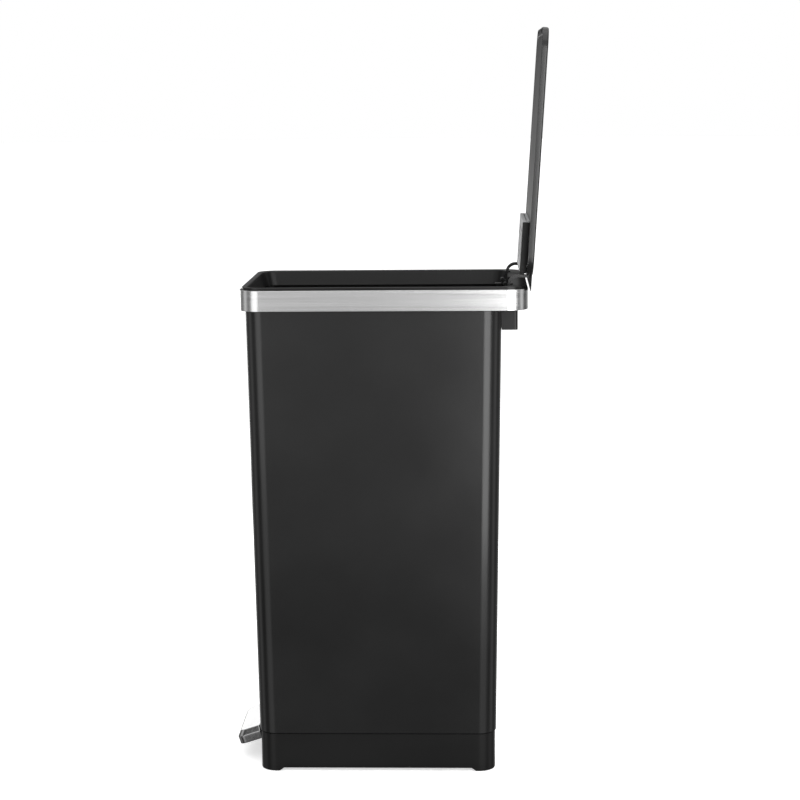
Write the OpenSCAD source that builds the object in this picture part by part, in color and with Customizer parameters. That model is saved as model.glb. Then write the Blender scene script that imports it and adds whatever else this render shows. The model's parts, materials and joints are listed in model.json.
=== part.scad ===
// Slim pedal bin, lid open and pedal pressed. Millimetres, +Z up, pedal at -Y, hinge at +Y.
// The origin lies on the floor under the middle of the whole object's box. The pieces are
// drawn from the middle of the body's foot, and centred() moves them.

/* [Body] */
// Depth of the steel body at its foot, front to back
body_foot_d = 322; // [300:1:340]
// Width of the steel body at its foot
body_foot_w = 235; // [220:1:250]
// Depth of the steel body at its top
body_top_d = 339; // [330:1:345]
// Radius of the body's upright corners
body_r = 24; // [16:1:30]
// Thickness of the body sheet
sheet_t = 0.8; // [0.6:0.1:1.2]

/* [Base] */
// Height of the plastic base, from the floor to the seam
base_h = 54; // [50:1:58]
// Height of the feet below the base's lower edge
foot_h = 4; // [3:0.5:6]

/* [Rim] */
// Width of the steel rim band, across
rim_w = 264; // [260:1:268]
// Front of the rim band, ahead of the origin
rim_front = 176; // [174:1:180]
// Back of the rim band, behind the origin
rim_back = 204; // [202:0.5:206]
// Lower edge of the rim band
band_z = 630; // [628:1:632]
// Height of the rim band
band_h = 27.5; // [26:0.5:29]
// Height of the plastic lip above the band
lip_h = 3.5; // [2.5:0.5:4]

/* [Lid] */
// Opening angle of the lid from closed, past upright
open_angle = 93.7; // [90:0.1:96]
// Reach of the lid from the hinge pin to its front edge
lid_reach = 351; // [346:1:354]
// Width of the lid
lid_w = 248; // [244:1:250]
// Depth of the lid's skirt
skirt_h = 8; // [7:0.5:9]
// Hinge pin behind the origin
pin_y = 184.2; // [184:0.1:184.4]
// Hinge pin above the floor
pin_z = 645.5; // [645.3:0.1:645.7]

/* [Pedal] */
// Width of the tread
tread_w = 120; // [100:2:130]
// Angle between the two ends of the pedal's swing
pedal_swing = 8.7; // [7:0.1:9]
// Pedal axle ahead of the origin
axle_y = -20; // [-30:1:-10]
// Pedal axle above the floor
axle_z = 42; // [40:1:44]

/* [Bucket] */
// Height of the inner bucket
bucket_h = 564; // [480:2:564]
// Wall of the inner bucket
bucket_t = 1.6; // [1.2:0.2:2.4]

/* [Hidden] */
$fn = 48;
hull_fn = 32;
eps = 0.01;
thread_r = 1.5;

// Colours
satin_black = [0.10, 0.10, 0.10];
plastic_black = [0.14, 0.14, 0.14];
steel = [0.78, 0.78, 0.77];
zinc = [0.62, 0.64, 0.66];
light_grey = [0.72, 0.73, 0.74];
bucket_grey = [0.30, 0.31, 0.32];
rubber_black = [0.07, 0.07, 0.07];

// Middle of the whole object, front to back, behind the middle of the body's foot
box_mid_y = 17.182;

// Body and base
shell_top = 634;
body_slope = (body_top_d - body_foot_d) / 2 / (band_z - base_h);
base_inset = 1.5;
base_wall = 2.5;
pan_z = foot_h + 3;
pan_t = 2.5;
foot_len = 26;
slot_w = 30;
slot_z0 = 12;
ledge_w = 12;
ledge_t = 3;
rail_x = 92;
rail_w = 6;
screw_y = 120;
base_screw_l = 9;
foot_pad_d = 16;
foot_pad_in = 18;
bucket_z = base_h + 10;

// Rim
rim_mid = (rim_back - rim_front) / 2;
rim_d = rim_front + rim_back;
rim_r = 28;
band_t = 1.2;
band_top = band_z + band_h;
lip_z = band_top + lip_h;
lip_t = 2.5;
lip_inset = 1.8;
frame_wall = 2;
mouth_x = 117;
mouth_front = -162;
mouth_back = 176;
mouth_r = 18;
deck_edge = 184.5;
floor_z = band_z + 0.5;
floor_t = 2;
skirt_z = 641;
mouth_wall = 1.6;
arm_x = 90;
arm_w = 12;
arm_slot = arm_w + 5;
window_x0 = -15;
window_x1 = 43;
window_w = window_x1 - window_x0;
window_z = 601.5;

// Rear housing
housing_w = 180;
housing_z = 600;
housing_back = 191;
housing_wall = 2;
housing_screw_x = 70;
housing_screw_y = housing_back - 9;
housing_screw_l = 12;
housing_boss_r = 4;
damper_x = 28;
damper_r = 5;
damper_rod_r = 1.5;
damper_z0 = housing_z + housing_wall;
damper_z1 = 632;

// Hinge
pin_r = 3;
fit = 0.05;
tube_r = 5.4;
tube_half = arm_x - arm_w / 2;
block_x = arm_x + arm_w / 2 + 1;
block_w = 10;
block_d = 13;
block_screw_dy = 4;
block_screw_l = 8.5;
pin_half = block_x + block_w;
hook_in = 10.4;
hook_out = 13.9;
hook_low = 7.5;
hook_reach = 15;
boss_r = 6.5;
crank_r = 18;
crank_w = 10;
crank_boss_r = 8;
crank_lift = crank_r * sin(open_angle / 2);
damper_crank_r = 13;
damper_crank_w = 7;
damper_lift = damper_crank_r * sin(open_angle / 2);
damper_y = pin_y - damper_crank_r * cos(open_angle / 2) - 2.5;
damper_gap = 1.2;
damper_rod_len = 27;
damper_top = pin_z + damper_lift - 3 - damper_gap;
tip_r = 3;
lift_gap = 1.5;

// Lid, in its closed pose
lid_front = pin_y - lid_reach;
lid_rear = pin_y - 28.7;
lid_bottom = pin_z + 16.3;
lid_top = lid_bottom + skirt_h;
lid_sheet = 1.2;
lid_r = 27;
lid_gap_x = arm_x + arm_w / 2 + 1;
flap_back = pin_y - 10;
flap_front = pin_y - 44;
flap_w = 236;
flap_z = pin_z + 21.9;
flap_t = 1.1;
liner_z = lid_bottom + 0.2;
liner_t = 2.3;
flange_z = liner_z + liner_t + 0.2;
flange_top = flap_z - 0.1;
flange_front = pin_y - 84;
arm_screw_y = [110, 145];
bumper_r = 2.5;
bumper_x = 60;
bumper_t = 0.8;

// Filter housing under the lid
filter_w = 162;
filter_y0 = pin_y - 99;
filter_y1 = pin_y - 29.5;
filter_drop = 9.2;
filter_wall = 2;
filter_z = liner_z - filter_drop;
door_t = 2.2;
door_slot_w = 30;
door_slot_d = 3;
door_slots_x = [-56, -18.67, 18.67, 56];

// Pedal
lever_w = 20;
lever_t = 8;
lever_drop = 4;
lever_boss_r = 9;
rod_y = 154;
rod_r = 2.5;
rest_tilt = pedal_swing / 2;
axle_r = 4;
axle_half = 22;
bracket_x = 14;
bracket_t = 3;
bracket_d = 40;
ear_r = 12;
bracket_screw_x = bracket_x + bracket_t + ear_r / 2;
clip_r = 6.5;
clip_t = 1.5;
tread_back = -161;
tread_back_z = 29;
tread_d = 34;
tread_tilt = 18;
tread_side = 11;
tread_h = 17.5;
tread_bevel = 6;
tread_r = 10;
tread_t = 1.5;
tread_notch = lever_w + 1;
tread_notch_h = 8;
rivet_x = 6;
rivet_r = 2;
rivet_foot = -2;
rivet_y = -11;
rod_foot_z = axle_z + (rod_y - axle_y) * sin(rest_tilt) + lever_t / 2 + 1.2;
jog_z = 632;
jog_t = 4;
head_w = 12;
head_front = 5;
head_back = 170.6;
post_d = 7;
pad_t = 2;
pad_d = 9;
post_top = pin_z + crank_lift - tip_r - lift_gap;
channel_front = 147.4;
channel_x = 12;
channel_t = 1.2;
channel_z0 = bucket_z + 2;
channel_z1 = housing_z;
guide_zs = [100, 560];
guide_h = 16;

// Bucket
bucket_top = bucket_z + bucket_h;
bucket_back = 144;
bucket_front = -158;
bucket_x = 113;
bucket_taper = 7;
bucket_r = 30;
bucket_lip = 3;
bucket_lip_h = 4;

// ---- shared shapes ----

// Moves a piece drawn from the middle of the body's foot to the middle of the whole object
module centred() {
    translate([0, -box_mid_y, 0])
        children();
}

// Flat rounded rectangle centred on [0, mid_y]
module round_plan(w, d, r, mid_y = 0, fn = 64) {
    translate([0, mid_y])
        union() {
            square([w - 2 * r, d], center = true);
            square([w, d - 2 * r], center = true);
            for (sx = [-1, 1], sy = [-1, 1])
                translate([sx * (w / 2 - r), sy * (d / 2 - r)])
                    circle(r, $fn = fn);
        }
}

// Rounded block with upright walls
module round_block(w, d, r, z0, z1, mid_y = 0) {
    translate([0, 0, z0])
        linear_extrude(z1 - z0)
            round_plan(w, d, r, mid_y);
}

// Tapered rounded block between two heights
module taper_block(w0, d0, r0, z0, w1, d1, r1, z1, mid0 = 0, mid1 = 0) {
    hull() {
        translate([0, 0, z0])
            linear_extrude(eps)
                round_plan(w0, d0, r0, mid0, hull_fn);
        translate([0, 0, z1 - eps])
            linear_extrude(eps)
                round_plan(w1, d1, r1, mid1, hull_fn);
    }
}

// Steel body outline between two heights, pulled in by inset
module body_block(z0, z1, inset) {
    function grow(z) = 2 * body_slope * (z - base_h) - 2 * inset;
    r = body_r - inset;
    taper_block(body_foot_w + grow(z0), body_foot_d + grow(z0), r, z0,
        body_foot_w + grow(z1), body_foot_d + grow(z1), r, z1);
}

// Puts a piece drawn with the lid closed into the open pose
module on_lid() {
    translate([0, pin_y, pin_z])
        rotate([-open_angle, 0, 0])
            translate([0, -pin_y, -pin_z])
                children();
}

// Puts a piece drawn with the lever level into the pressed pose
module on_pedal() {
    translate([0, axle_y, axle_z])
        rotate([rest_tilt, 0, 0])
            translate([0, -axle_y, -axle_z])
                children();
}

// Round bar along X
module bar_x(r, x0, x1, y, z) {
    translate([x0, y, z])
        rotate([0, 90, 0])
            cylinder(r = r, h = x1 - x0);
}

// Extrudes a drawing in the Y-Z plane along X
module along_x(x0, x1) {
    translate([x0, 0, 0])
        rotate([90, 0, 90])
            linear_extrude(x1 - x0)
                children();
}

// Pan-head screw pointing down from its head
module screw(len, d = 3, head_d = 6, head_h = 2) {
    rotate([180, 0, 0])
        cylinder(d = d, h = len);
    cylinder(d = head_d, h = head_h);
}

// ---- fixed pieces ----

module body_shell() {
    color(satin_black) centred()
        difference() {
            body_block(base_h, shell_top, 0);
            body_block(base_h - 1, shell_top + 1, sheet_t);
            translate([window_x0, body_top_d / 2 - 12, window_z])
                cube([window_w, 24, shell_top + 1 - window_z]);
        }
}

module base_ring() {
    w = body_foot_w - 2 * base_inset;
    d = body_foot_d - 2 * base_inset;
    r = body_r - base_inset;
    arch = d - 2 * foot_len;
    color(plastic_black) centred()
        difference() {
            union() {
                difference() {
                    round_block(w, d, r, 1, base_h);
                    round_block(w - 2 * base_wall, d - 2 * base_wall, r - base_wall, 0, base_h + 1);
                }
                for (s = [-1, 1])
                    translate([s * rail_x - rail_w / 2, -d / 2 + 1, pan_z + pan_t])
                        cube([rail_w, d - 2, bucket_z - pan_z - pan_t]);
                difference() {
                    round_block(w - 1, d - 1, r, base_h - ledge_t, base_h);
                    round_block(w - 2 * ledge_w, d - 2 * ledge_w, r - 8, base_h - ledge_t - 1, base_h + 1);
                }
            }
            translate([0, 0, foot_h / 2])
                cube([w + 2, arch, foot_h], center = true);
            translate([0, 0, foot_h / 2])
                cube([w - 2 * foot_len, d + 2, foot_h], center = true);
            translate([-slot_w / 2, -d / 2 - 1, slot_z0])
                cube([slot_w, base_wall + ledge_w + 3, base_h + 1 - slot_z0]);
            translate([-slot_w / 2, d / 2 - ledge_w - 8, base_h - ledge_t - 1])
                cube([slot_w, ledge_w + 8 - base_wall, ledge_t + 2]);
            for (sx = [-1, 1], sy = [-1, 1])
                translate([sx * rail_x, sy * screw_y, pan_z])
                    cylinder(r = thread_r, h = base_screw_l);
        }
}

module base_pan() {
    w = body_foot_w - 2 * base_inset - 2 * base_wall - 0.4;
    d = body_foot_d - 2 * base_inset - 2 * base_wall - 0.4;
    r = body_r - base_inset - base_wall - 0.2;
    color(plastic_black) centred()
        difference() {
            round_block(w, d, r, pan_z, pan_z + pan_t);
            for (sx = [-1, 1], sy = [-1, 1]) {
                translate([sx * rail_x, sy * screw_y, pan_z - 1])
                    cylinder(d = 3.4, h = pan_t + 2);
                translate([sx * bracket_screw_x, axle_y + sy * ear_r, pan_z - 1])
                    cylinder(r = thread_r, h = pan_t + 2);
            }
        }
}
module base_screws() {
    color(zinc) centred()
        for (sx = [-1, 1], sy = [-1, 1])
            translate([sx * rail_x, sy * screw_y, pan_z])
                mirror([0, 0, 1])
                    screw(base_screw_l);
}

module rubber_feet() {
    color(rubber_black) centred()
        for (sx = [-1, 1], sy = [-1, 1])
            translate([sx * (body_foot_w / 2 - foot_pad_in), sy * (body_foot_d / 2 - foot_pad_in), 0])
                cylinder(d = foot_pad_d, h = pan_z);
}

module mouth_block(grow, z0, z1) {
    round_block(2 * (mouth_x + grow), mouth_back - mouth_front + 2 * grow, mouth_r + grow,
        z0, z1, (mouth_front + mouth_back) / 2);
}

// Outline of the rim, pulled in by inset all round
module rim_block(inset, z0, z1) {
    round_block(rim_w - 2 * inset, rim_d - 2 * inset, rim_r - inset, z0, z1, rim_mid);
}

module rim_frame() {
    color(plastic_black) centred()
        difference() {
            union() {
                difference() {
                    union() {
                        rim_block(band_t, floor_z, band_top);
                        rim_block(band_t + lip_inset, floor_z, lip_z);
                    }
                    rim_block(band_t + frame_wall, floor_z + floor_t, band_top - lip_t);
                    rim_block(band_t + lip_inset + frame_wall, floor_z + floor_t, lip_z - lip_t);
                    body_block(floor_z - 1, floor_z + floor_t + 1, -0.1);
                    mouth_block(0, lip_z - lip_t - 1, lip_z + 1);
                }
                difference() {
                    mouth_block(mouth_wall, skirt_z, lip_z - 1);
                    mouth_block(0, skirt_z - 1, lip_z + 1);
                }
                for (s = [-1, 1])
                    translate([s * housing_screw_x, housing_screw_y, housing_z + housing_wall])
                        cylinder(r = housing_boss_r, h = floor_z + floor_t - housing_z - housing_wall);
            }
            for (s = [-1, 1])
                translate([s * housing_screw_x, housing_screw_y, housing_z])
                    cylinder(r = thread_r, h = housing_screw_l);
            for (s = [-1, 1], dy = [-1, 1])
                translate([s * (block_x + block_w / 2), pin_y + dy * block_screw_dy, floor_z - 1])
                    cylinder(r = thread_r, h = floor_t + 2);
            for (s = [-1, 1])
                translate([s * arm_x - arm_slot / 2, mouth_back - 1, skirt_z - 1])
                    cube([arm_slot, deck_edge + 1 - mouth_back, lip_z - skirt_z + 2]);
            translate([window_x0, mouth_back - 1, skirt_z - 1])
                cube([window_w, deck_edge + 1 - mouth_back, lip_z - skirt_z + 2]);
            translate([window_x0, body_top_d / 2 - 4, floor_z - 1])
                cube([window_w, 22, floor_t + 2]);
        }
}

module rim_band() {
    color(steel) centred()
        difference() {
            round_block(rim_w, rim_d, rim_r, band_z, band_top, rim_mid);
            round_block(rim_w - 2 * band_t, rim_d - 2 * band_t, rim_r - band_t,
                band_z - 1, band_top + 1, rim_mid);
        }
}

module rear_housing() {
    w = housing_w;
    z1 = floor_z;
    front = body_top_d / 2 + 0.2;
    color(plastic_black) centred()
        difference() {
            union() {
                translate([-w / 2, front, housing_z])
                    cube([w, housing_back - front - 4, z1 - housing_z]);
                translate([-w / 2 + 4, front, housing_z])
                    cube([w - 8, housing_back - front, z1 - housing_z]);
                for (s = [-1, 1])
                    translate([s * (w / 2 - 4), housing_back - 4, housing_z])
                        cylinder(r = 4, h = z1 - housing_z);
            }
            translate([-w / 2 + housing_wall, front - 1, housing_z + housing_wall])
                cube([w - 2 * housing_wall, housing_back - housing_wall + 1 - front, z1 - housing_z]);
            for (s = [-1, 1])
                translate([s * housing_screw_x, housing_screw_y, housing_z - 1])
                    cylinder(r = thread_r, h = housing_wall + 2);
        }
}

module housing_screws() {
    color(zinc) centred()
        for (s = [-1, 1])
            translate([s * housing_screw_x, housing_screw_y, housing_z])
                mirror([0, 0, 1])
                    screw(housing_screw_l);
}

module hinge_blocks() {
    color(plastic_black) centred()
        for (s = [-1, 1])
            difference() {
                translate([s * (block_x + block_w / 2) - block_w / 2, pin_y - block_d / 2,
                    floor_z + floor_t])
                    cube([block_w, block_d, lip_z - lip_t - floor_z - floor_t]);
                bar_x(pin_r, s * (block_x + block_w / 2) - block_w, s * (block_x + block_w / 2) + block_w,
                    pin_y, pin_z);
                for (dy = [-1, 1])
                    translate([s * (block_x + block_w / 2), pin_y + dy * block_screw_dy, floor_z])
                        cylinder(r = thread_r, h = 9);
            }
}

module hinge_block_screws() {
    color(zinc) centred()
        for (s = [-1, 1], dy = [-1, 1])
            translate([s * (block_x + block_w / 2), pin_y + dy * block_screw_dy, floor_z])
                mirror([0, 0, 1])
                    screw(block_screw_l, 3, 5.4, 1.8);
}

module hinge_pin() {
    color(steel) centred()
        bar_x(pin_r, -pin_half, pin_half, pin_y, pin_z);
}

module damper_cylinder() {
    color(zinc) centred()
        translate([damper_x, damper_y, 0])
            difference() {
                translate([0, 0, damper_z0])
                    cylinder(r = damper_r, h = damper_z1 - damper_z0);
                translate([0, 0, damper_z0 + 2])
                    cylinder(r = damper_rod_r + fit, h = damper_z1 - damper_z0);
            }
}

module rod_channel() {
    x1 = channel_x + channel_t;
    inner = (body_foot_d / 2) - sheet_t - 0.2;
    function wall_y(z) = inner + body_slope * (z - base_h);
    color(plastic_black) centred() {
        translate([-x1, channel_front, channel_z0])
            cube([2 * x1, channel_t, channel_z1 - channel_z0]);
        for (s = [-1, 1])
            along_x(s > 0 ? channel_x : -x1, s > 0 ? x1 : -channel_x)
                polygon([
                    [channel_front, channel_z0],
                    [wall_y(channel_z0), channel_z0],
                    [wall_y(channel_z1), channel_z1],
                    [channel_front, channel_z1]
                ]);
    }
}

module rod_guides() {
    front = channel_front + channel_t;
    color(light_grey) centred()
        for (z = guide_zs)
            difference() {
                translate([-channel_x, front, z])
                    cube([2 * channel_x, 2 * (rod_y - front), guide_h]);
                translate([0, rod_y, z - 1])
                    cylinder(r = rod_r + fit, h = guide_h + 2);
            }
}

module pedal_bracket() {
    z0 = pan_z + pan_t;
    color(zinc) centred()
        difference() {
            union() {
                translate([-bracket_x - bracket_t - ear_r, axle_y - bracket_d / 2, z0])
                    cube([2 * (bracket_x + bracket_t + ear_r), bracket_d, bracket_t]);
                for (s = [-1, 1])
                    along_x(s > 0 ? bracket_x : -bracket_x - bracket_t,
                        s > 0 ? bracket_x + bracket_t : -bracket_x)
                        union() {
                            translate([axle_y - ear_r, z0])
                                square([2 * ear_r, axle_z - z0]);
                            translate([axle_y, axle_z])
                                circle(ear_r);
                        }
            }
            bar_x(axle_r, -axle_half, axle_half, axle_y, axle_z);
            for (sx = [-1, 1], sy = [-1, 1])
                translate([sx * bracket_screw_x, axle_y + sy * ear_r, z0 - 1])
                    cylinder(r = 1.7, h = bracket_t + 2);
        }
}

module bracket_screws() {
    color(steel) centred()
        for (sx = [-1, 1], sy = [-1, 1])
            translate([sx * bracket_screw_x, axle_y + sy * ear_r, pan_z + pan_t + bracket_t])
                screw(bracket_t + pan_t - 0.5);
}

module pedal_axle() {
    color(steel) centred()
        bar_x(axle_r, -axle_half, axle_half, axle_y, axle_z);
}

module axle_clips() {
    x0 = bracket_x + bracket_t + 0.4;
    color(zinc) centred()
        for (s = [-1, 1])
            difference() {
                bar_x(clip_r, s > 0 ? x0 : -x0 - clip_t, s > 0 ? x0 + clip_t : -x0, axle_y, axle_z);
                bar_x(axle_r, -axle_half, axle_half, axle_y, axle_z);
            }
}

module inner_bucket() {
    mid = (bucket_back + bucket_front) / 2;
    d = bucket_back - bucket_front;
    w = 2 * bucket_x;
    t2 = 2 * bucket_t;
    foot_w = w - 2 * bucket_taper;
    foot_d = d - 2 * bucket_taper;
    foot_r = bucket_r - 4;
    color(bucket_grey) centred()
        difference() {
            union() {
                taper_block(foot_w, foot_d, foot_r, bucket_z, w, d, bucket_r, bucket_top, mid, mid);
                round_block(w + 2 * bucket_lip, d + 2 * bucket_lip, bucket_r + bucket_lip,
                    bucket_top - bucket_lip_h, bucket_top, mid);
            }
            taper_block(foot_w - t2, foot_d - t2, foot_r - bucket_t, bucket_z + bucket_t,
                w - t2, d - t2, bucket_r - bucket_t, bucket_top + 1, mid, mid);
        }
}

// ---- pieces on the lid, drawn with the lid closed ----

module lid_plan(inset, z0, z1) {
    round_block(lid_w - 2 * inset, lid_rear - lid_front - 2 * inset, lid_r - inset, z0, z1,
        (lid_rear + lid_front) / 2);
}

module lid_shell() {
    color(satin_black) centred()
        on_lid()
            difference() {
                lid_plan(0, lid_bottom, lid_top);
                lid_plan(lid_sheet, lid_bottom - 1, lid_top - lid_sheet);
                translate([-lid_gap_x, lid_rear - 2 * lid_sheet, lid_bottom - 1])
                    cube([2 * lid_gap_x, 4 * lid_sheet, flap_z + flap_t - lid_bottom + 1]);
                translate([-flap_w / 2 - 0.2, flap_front - 0.2, flap_z - 0.1])
                    cube([flap_w + 0.4, flap_back - flap_front, flap_t + 0.2]);
            }
}

module lid_liner() {
    color(plastic_black) centred()
        on_lid()
            difference() {
                lid_plan(lid_sheet + 0.2, liner_z, liner_z + liner_t);
                for (s = [-1, 1], y = arm_screw_y)
                    translate([s * arm_x, y, liner_z - 1])
                        cylinder(r = thread_r, h = liner_t + 2);
            }
}

module lid_flap() {
    color(plastic_black) centred()
        on_lid()
            translate([-flap_w / 2, flap_front, flap_z])
                cube([flap_w, flap_back - flap_front, flap_t]);
}

module hinge_tube() {
    color(zinc) centred()
        on_lid()
            difference() {
                bar_x(tube_r, -tube_half, tube_half, pin_y, pin_z);
                bar_x(pin_r + fit, -tube_half - 1, tube_half + 1, pin_y, pin_z);
            }
}

// Gooseneck arm: a boss on the pin, a hook round the deck's edge and a flange under the lid
module hinge_arm(side) {
    x0 = side * arm_x - arm_w / 2;
    hook_w = hook_out - hook_in;
    color(satin_black) centred()
        on_lid()
            difference() {
                along_x(x0, x0 + arm_w)
                    translate([pin_y, pin_z])
                        union() {
                            circle(boss_r);
                            translate([-hook_reach, -hook_low])
                                square([hook_reach, hook_w]);
                            translate([-hook_reach, hook_out - hook_low])
                                intersection() {
                                    difference() {
                                        circle(hook_out);
                                        circle(hook_in);
                                    }
                                    translate([-hook_out, -hook_out])
                                        square(hook_out);
                                }
                            translate([-hook_reach - hook_out, hook_out - hook_low])
                                square([hook_w, flange_top - pin_z - hook_out + hook_low]);
                            translate([flange_front - pin_y, flange_z - pin_z])
                                square([pin_y - flange_front - hook_reach - hook_in, flange_top - flange_z]);
                        }
                bar_x(pin_r + fit, x0 - 1, x0 + arm_w + 1, pin_y, pin_z);
                for (y = arm_screw_y)
                    translate([side * arm_x, y, liner_z])
                        cylinder(r = thread_r, h = 10);
            }
}

module hinge_arm_left() {
    hinge_arm(-1);
}

module hinge_arm_right() {
    hinge_arm(1);
}

module arm_screws() {
    color(zinc) centred()
        on_lid()
            for (s = [-1, 1], y = arm_screw_y)
                translate([s * arm_x, y, liner_z])
                    mirror([0, 0, 1])
                        screw(flange_top - liner_z - 0.3, 3, 5.6, 1.6);
}

// Finger from the hinge tube; its tip is level in mid swing
module crank(x0, w, reach, boss) {
    tip_angle = 180 + open_angle / 2;
    color(zinc) centred()
        on_lid()
            difference() {
                along_x(x0, x0 + w)
                    translate([pin_y, pin_z])
                        union() {
                            circle(boss);
                            rotate(tip_angle) {
                                translate([0, -tip_r])
                                    square([reach, 2 * tip_r]);
                                translate([reach, 0])
                                    circle(tip_r);
                            }
                        }
                bar_x(tube_r, x0 - 1, x0 + w + 1, pin_y, pin_z);
            }
}

module lift_crank() {
    crank(-crank_w / 2, crank_w, crank_r, crank_boss_r);
}

module damper_crank() {
    crank(damper_x - damper_crank_w / 2, damper_crank_w, damper_crank_r, crank_boss_r);
}

module filter_housing() {
    color(plastic_black) centred()
        on_lid()
            difference() {
                translate([-filter_w / 2, filter_y0 + door_t + 0.2, filter_z])
                    cube([filter_w, filter_y1 - filter_y0 - door_t - 0.2, filter_drop - 0.1]);
                translate([-filter_w / 2 + filter_wall, filter_y0, filter_z - 1])
                    cube([filter_w - 2 * filter_wall, filter_y1 - filter_y0 - filter_wall, filter_drop + 2]);
            }
}

module filter_door() {
    x = filter_w / 2 - filter_wall - 0.2;
    color(light_grey) centred()
        on_lid()
            difference() {
                union() {
                    translate([-x, filter_y0, filter_z])
                        cube([2 * x, filter_y1 - filter_y0 - filter_wall - 0.2, door_t]);
                    translate([-x, filter_y0, filter_z])
                        cube([2 * x, door_t, filter_drop - 0.1]);
                }
                for (x = door_slots_x, y = [filter_y0 + 14 : 8 : filter_y1 - 12])
                    translate([x - door_slot_w / 2, y, filter_z - 1])
                        cube([door_slot_w, door_slot_d, door_t + 2]);
                translate([-x + 4, filter_y0 - 1, filter_z + 4.2])
                    cube([2 * x - 8, door_t + 2, 1.4]);
            }
}

module carbon_filter() {
    color([0.05, 0.05, 0.05]) centred()
        on_lid()
            translate([-filter_w / 2 + 5, filter_y0 + 6, filter_z + door_t + 0.2])
                cube([filter_w - 10, filter_y1 - filter_y0 - 12, filter_drop - door_t - 0.4]);
}

module lid_bumpers() {
    color(rubber_black) centred()
        on_lid()
            for (s = [-1, 1])
                translate([s * bumper_x, lid_front + lid_sheet + bumper_r + 0.3, liner_z - bumper_t])
                    cylinder(r = bumper_r, h = bumper_t);
}

// ---- pieces on the pedal, drawn with the lever level ----

module pedal_lever() {
    color(zinc) centred()
        difference() {
            on_pedal()
                difference() {
                    along_x(-lever_w / 2, lever_w / 2)
                        union() {
                            translate([axle_y, axle_z])
                                circle(lever_boss_r);
                            polygon([
                                [rod_y + 2, axle_z - lever_t / 2],
                                [rod_y + 2, axle_z + lever_t / 2],
                                [axle_y, axle_z + lever_t / 2],
                                [axle_y - 40, axle_z + lever_t / 2 - lever_drop],
                                [tread_back - 2, axle_z + lever_t / 2 - lever_drop],
                                [tread_back - 7, axle_z + lever_t / 2 - lever_drop + 4],
                                [tread_back - 24, axle_z + lever_t / 2 - lever_drop - 1],
                                [tread_back - 24, axle_z - lever_t / 2 - lever_drop],
                                [axle_y - 40, axle_z - lever_t / 2 - lever_drop],
                                [axle_y, axle_z - lever_t / 2]
                            ]);
                        }
                    bar_x(axle_r + fit, -lever_w, lever_w, axle_y, axle_z);
                }
            in_tread()
                for (x = [-rivet_x, rivet_x])
                    translate([x, rivet_y, rivet_foot - lever_t])
                        cylinder(r = rivet_r, h = 2 * lever_t + tread_notch_h);
        }
}

// Tread outline from its back edge, with round corners at the front only
module tread_plan(w, d, r) {
    round_plan(w, d, r, -d / 2, hull_fn);
    translate([-w / 2, -r])
        square([w, r]);
}

// Bevelled tread in its own tilted frame, pulled in by inset
module tread_block(inset, z0) {
    w = tread_w - 2 * inset;
    d = tread_d - 2 * inset;
    hull() {
        translate([0, -inset, z0])
            linear_extrude(tread_side - z0)
                tread_plan(w, d, tread_r - inset);
        translate([0, -inset, tread_h - inset - eps])
            linear_extrude(eps)
                tread_plan(w - 2 * tread_bevel, d - tread_bevel, tread_r - inset - 2);
    }
}

module in_tread() {
    translate([0, tread_back, tread_back_z])
        rotate([tread_tilt, 0, 0])
            children();
}

module pedal_tread() {
    color(steel) centred()
        in_tread()
            difference() {
                tread_block(0, 0);
                tread_block(tread_t, -1);
                translate([-tread_notch / 2, -tread_t - 1, -1])
                    cube([tread_notch, tread_t + 2, tread_notch_h + 1]);
            }
}

module tread_rivets() {
    color(steel) centred()
        in_tread()
            for (s = [-1, 1])
                translate([s * rivet_x, rivet_y, rivet_foot])
                    cylinder(r = rivet_r, h = tread_h - tread_t - rivet_foot);
}

// ---- pieces that slide ----

module push_rod() {
    color(steel) centred()
        translate([0, rod_y, rod_foot_z])
            cylinder(r = rod_r, h = jog_z - rod_foot_z);
}

module rod_head() {
    color(zinc) centred() {
        translate([-head_w / 2, rod_y - head_front, jog_z])
            cube([head_w, head_back - rod_y + head_front, jog_t]);
        translate([-head_w / 2 + 2, head_back - post_d, jog_z])
            cube([head_w - 4, post_d, post_top - jog_z]);
        translate([-head_w / 2, head_back - pad_d, post_top - pad_t])
            cube([head_w, pad_d, pad_t]);
    }
}

module damper_plunger() {
    color(steel) centred()
        translate([damper_x, damper_y, damper_top - damper_rod_len])
            cylinder(r = damper_rod_r, h = damper_rod_len);
}

body_shell();
base_ring();
base_pan();
base_screws();
rubber_feet();
rim_frame();
rim_band();
rear_housing();
housing_screws();
hinge_blocks();
hinge_block_screws();
hinge_pin();
damper_cylinder();
rod_channel();
rod_guides();
pedal_bracket();
bracket_screws();
pedal_axle();
axle_clips();
inner_bucket();
lid_shell();
lid_liner();
lid_flap();
hinge_tube();
hinge_arm_left();
hinge_arm_right();
arm_screws();
lift_crank();
damper_crank();
filter_housing();
filter_door();
carbon_filter();
lid_bumpers();
pedal_lever();
pedal_tread();
tread_rivets();
push_rod();
rod_head();
damper_plunger();
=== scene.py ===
import json
import math

import bmesh
import bpy
from mathutils import Matrix, Vector


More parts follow.
